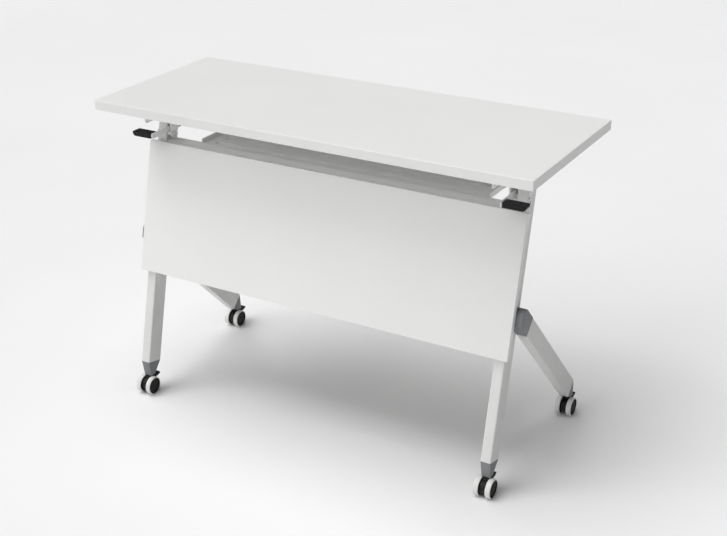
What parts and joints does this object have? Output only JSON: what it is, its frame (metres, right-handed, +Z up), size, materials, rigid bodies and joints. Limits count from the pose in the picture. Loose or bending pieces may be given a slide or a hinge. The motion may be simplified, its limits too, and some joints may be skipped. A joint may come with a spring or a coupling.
{
  "type": "folding training table",
  "caption": "Rectangular training table on splayed tube legs with castors, tilting top, sheet metal book shelf, slanted modesty panel and release levers.",
  "frame": {"origin": "on the floor, at the middle of the bounding box in plan", "axes": "+X along the table, +Y from the panel side to the sitting side, +Z up"},
  "size_m": [1.08, 0.4738, 0.75],
  "materials": {
    "board_laminate": "white melamine faced board",
    "bracket_paint": "satin powder coat",
    "castor_hub": "moulded black",
    "castor_nylon": "moulded black",
    "castor_tread": "pale soft tread",
    "edge_plastic": "white edge band",
    "foot_nylon": "moulded dark grey",
    "grip_plastic": "moulded black, fine texture",
    "leg_paint": "satin powder coat, pale grey white",
    "panel_laminate": "white melamine faced board",
    "pedal_nylon": "moulded black",
    "shelf_paint": "satin powder coat",
    "zinc_steel": "zinc plated"
  },
  "bodies": {
    "base": {"castor_stems": "zinc_steel", "cross_beam": "leg_paint", "front_foot_left": "foot_nylon", "front_foot_right": "foot_nylon", "joint_bolts": "zinc_steel", "leg_caps": "foot_nylon", "lever_pins": "zinc_steel", "main_leg_left": "leg_paint", "main_leg_right": "leg_paint", "modesty_panel": "panel_laminate", "panel_screws": "zinc_steel", "pivot_bolts": "bracket_paint", "rear_foot_left": "foot_nylon", "rear_foot_right": "foot_nylon", "rear_joint_left": "foot_nylon", "rear_joint_right": "foot_nylon", "rear_leg_left": "leg_paint", "rear_leg_right": "leg_paint"},
    "castor_front_right": {"castor_front_right_body": "castor_nylon", "castor_front_right_axle": "zinc_steel"},
    "pedal_front_right": {"castor_front_right_pedal": "pedal_nylon"},
    "wheel_front_right_outer": {"castor_front_right_outer_tyre": "castor_tread", "castor_front_right_outer_hub": "castor_hub"},
    "wheel_front_right_inner": {"castor_front_right_inner_tyre": "castor_tread", "castor_front_right_inner_hub": "castor_hub"},
    "castor_front_left": {"castor_front_left_body": "castor_nylon", "castor_front_left_axle": "zinc_steel"},
    "pedal_front_left": {"castor_front_left_pedal": "pedal_nylon"},
    "wheel_front_left_outer": {"castor_front_left_outer_tyre": "castor_tread", "castor_front_left_outer_hub": "castor_hub"},
    "wheel_front_left_inner": {"castor_front_left_inner_tyre": "castor_tread", "castor_front_left_inner_hub": "castor_hub"},
    "castor_rear_right": {"castor_rear_right_body": "castor_nylon", "castor_rear_right_axle": "zinc_steel"},
    "pedal_rear_right": {"castor_rear_right_pedal": "pedal_nylon"},
    "wheel_rear_right_outer": {"castor_rear_right_outer_tyre": "castor_tread", "castor_rear_right_outer_hub": "castor_hub"},
    "wheel_rear_right_inner": {"castor_rear_right_inner_tyre": "castor_tread", "castor_rear_right_inner_hub": "castor_hub"},
    "castor_rear_left": {"castor_rear_left_body": "castor_nylon", "castor_rear_left_axle": "zinc_steel"},
    "pedal_rear_left": {"castor_rear_left_pedal": "pedal_nylon"},
    "wheel_rear_left_outer": {"castor_rear_left_outer_tyre": "castor_tread", "castor_rear_left_outer_hub": "castor_hub"},
    "wheel_rear_left_inner": {"castor_rear_left_inner_tyre": "castor_tread", "castor_rear_left_inner_hub": "castor_hub"},
    "lever_right": {"lever_right": "bracket_paint", "grip_right": "grip_plastic"},
    "lever_left": {"lever_left": "bracket_paint", "grip_left": "grip_plastic"},
    "top": {"book_shelf": "shelf_paint", "edge_band": "edge_plastic", "shelf_hanger_left": "shelf_paint", "shelf_hanger_right": "shelf_paint", "tilt_arm_left": "bracket_paint", "tilt_arm_right": "bracket_paint", "top_board": "board_laminate", "top_screws": "zinc_steel"}
  },
  "joints": [
    {"name": "top_flip", "type": "hinge", "parent": "base", "child": "top", "pos_m": [0, -0.08249, 0.645], "axis": [1, 0, 0], "range_deg": [0, 90]},
    {"name": "lever_right_lift", "type": "hinge", "parent": "base", "child": "lever_right", "pos_m": [0.4485, -0.05999, 0.66], "axis": [-1, 0, 0], "range_deg": [0, 10], "stiffness_Nm_per_rad": 2, "springref_deg": -8.59},
    {"name": "lever_left_lift", "type": "hinge", "parent": "base", "child": "lever_left", "pos_m": [-0.4485, -0.05999, 0.66], "axis": [-1, 0, 0], "range_deg": [0, 10], "stiffness_Nm_per_rad": 2, "springref_deg": -8.59},
    {"name": "front_right_swivel", "type": "hinge", "parent": "base", "child": "castor_front_right", "pos_m": [0.461, -0.2054, 0.0466], "axis": [0, 0, 1], "continuous": true},
    {"name": "front_right_outer_roll", "type": "hinge", "parent": "castor_front_right", "child": "wheel_front_right_outer", "pos_m": [0.47525, -0.2144, 0.0225], "axis": [1, 0, 0], "continuous": true},
    {"name": "front_right_inner_roll", "type": "hinge", "parent": "castor_front_right", "child": "wheel_front_right_inner", "pos_m": [0.44675, -0.2144, 0.0225], "axis": [1, 0, 0], "continuous": true},
    {"name": "front_right_brake", "type": "hinge", "parent": "castor_front_right", "child": "pedal_front_right", "pos_m": [0.461, -0.1934, 0.0393], "axis": [-1, 0, 0], "range_deg": [0, 15]},
    {"name": "front_left_swivel", "type": "hinge", "parent": "base", "child": "castor_front_left", "pos_m": [-0.461, -0.2054, 0.0466], "axis": [0, 0, 1], "continuous": true},
    {"name": "front_left_outer_roll", "type": "hinge", "parent": "castor_front_left", "child": "wheel_front_left_outer", "pos_m": [-0.47525, -0.2144, 0.0225], "axis": [1, 0, 0], "continuous": true},
    {"name": "front_left_inner_roll", "type": "hinge", "parent": "castor_front_left", "child": "wheel_front_left_inner", "pos_m": [-0.44675, -0.2144, 0.0225], "axis": [1, 0, 0], "continuous": true},
    {"name": "front_left_brake", "type": "hinge", "parent": "castor_front_left", "child": "pedal_front_left", "pos_m": [-0.461, -0.1934, 0.0393], "axis": [-1, 0, 0], "range_deg": [0, 15]},
    {"name": "rear_right_swivel", "type": "hinge", "parent": "base", "child": "castor_rear_right", "pos_m": [0.486, 0.2099, 0.0466], "axis": [0, 0, 1], "continuous": true},
    {"name": "rear_right_outer_roll", "type": "hinge", "parent": "castor_rear_right", "child": "wheel_rear_right_outer", "pos_m": [0.50025, 0.2009, 0.0225], "axis": [1, 0, 0], "continuous": true},
    {"name": "rear_right_inner_roll", "type": "hinge", "parent": "castor_rear_right", "child": "wheel_rear_right_inner", "pos_m": [0.47175, 0.2009, 0.0225], "axis": [1, 0, 0], "continuous": true},
    {"name": "rear_right_brake", "type": "hinge", "parent": "castor_rear_right", "child": "pedal_rear_right", "pos_m": [0.486, 0.2219, 0.0393], "axis": [-1, 0, 0], "range_deg": [0, 15]},
    {"name": "rear_left_swivel", "type": "hinge", "parent": "base", "child": "castor_rear_left", "pos_m": [-0.486, 0.2099, 0.0466], "axis": [0, 0, 1], "continuous": true},
    {"name": "rear_left_outer_roll", "type": "hinge", "parent": "castor_rear_left", "child": "wheel_rear_left_outer", "pos_m": [-0.50025, 0.2009, 0.0225], "axis": [1, 0, 0], "continuous": true},
    {"name": "rear_left_inner_roll", "type": "hinge", "parent": "castor_rear_left", "child": "wheel_rear_left_inner", "pos_m": [-0.47175, 0.2009, 0.0225], "axis": [1, 0, 0], "continuous": true},
    {"name": "rear_left_brake", "type": "hinge", "parent": "castor_rear_left", "child": "pedal_rear_left", "pos_m": [-0.486, 0.2219, 0.0393], "axis": [-1, 0, 0], "range_deg": [0, 15]}
  ]
}
